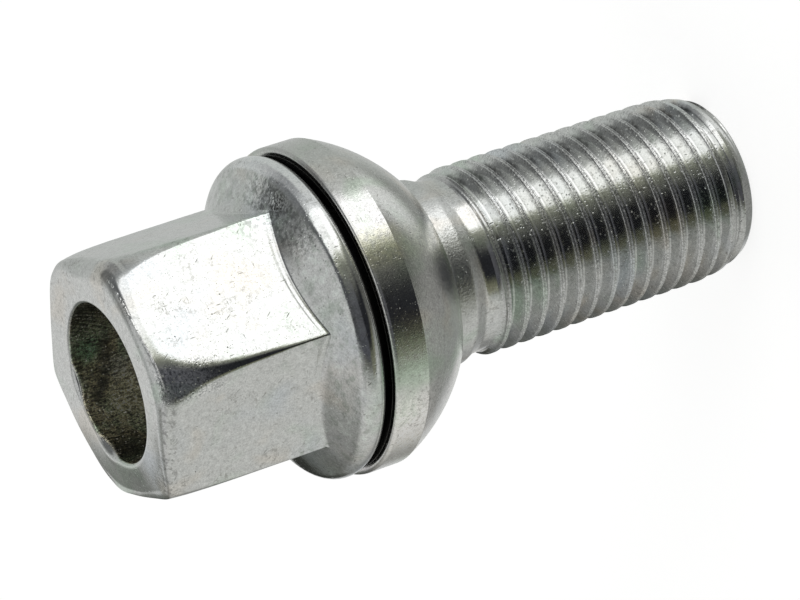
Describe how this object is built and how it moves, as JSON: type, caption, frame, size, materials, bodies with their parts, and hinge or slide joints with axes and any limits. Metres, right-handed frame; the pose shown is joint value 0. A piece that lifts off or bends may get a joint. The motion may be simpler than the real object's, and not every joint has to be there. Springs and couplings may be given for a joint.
{
  "type": "wheel bolt",
  "caption": "Zinc-plated steel wheel bolt: recessed hexagon head, round flange, loose ring with a spherical seat on the neck, and a fine metric thread that fastens a car wheel to its hub.",
  "frame": {"origin": "centre of the flat thread end, on the surface the bolt stands on", "axes": "+Z along the bolt axis towards the head; +X along the normal of one hexagon flat"},
  "size_m": [0.0242, 0.024, 0.0503],
  "materials": {
    "bolt_zinc": "bright zinc plate on forged steel, finely pitted",
    "ring_zinc": "bright zinc plate on turned steel, faint yellow-green cast"
  },
  "bodies": {
    "bolt": {"bolt": "bolt_zinc"},
    "ring": {"ball_seat_ring": "ring_zinc"}
  },
  "joints": [
    {"name": "ring_spin", "type": "hinge", "parent": "bolt", "child": "ring", "pos_m": [0, 0, 0.0305], "axis": [0, 0, 1], "continuous": true}
  ]
}
